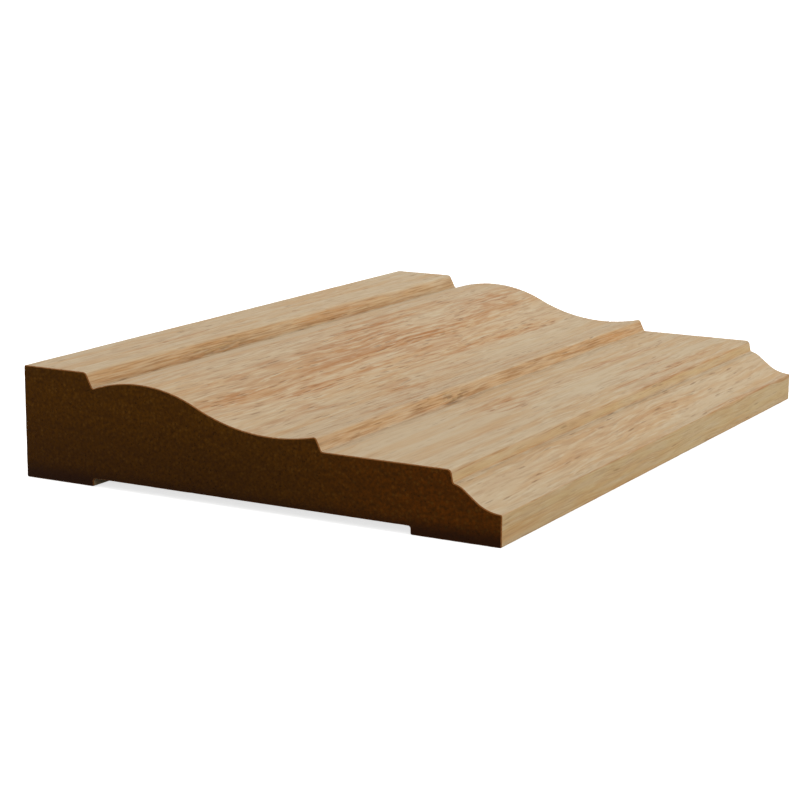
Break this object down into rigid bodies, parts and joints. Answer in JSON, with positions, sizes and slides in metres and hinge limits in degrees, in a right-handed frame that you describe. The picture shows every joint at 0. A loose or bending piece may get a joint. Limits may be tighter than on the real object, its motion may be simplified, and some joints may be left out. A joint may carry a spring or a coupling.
{
  "type": "casing moulding",
  "caption": "Short length of hardwood door or window casing: a flat band and quirk at the thick edge, a wide ogee, a flat and a stepped nose at the thin edge, over a relieved back",
  "frame": {"origin": "middle of the back plane, half way along the length, where the feet of the moulding rest", "axes": "+X across the face from the thick outer edge to the thin inner edge, +Y along the length and the grain, +Z out of the face"},
  "size_m": [0.0888, 0.127, 0.0191],
  "materials": {
    "oak": "bare planed red oak with open pores along the length, sawn end grain"
  },
  "bodies": {
    "root": {"casing_moulding": "oak"}
  },
  "joints": []
}
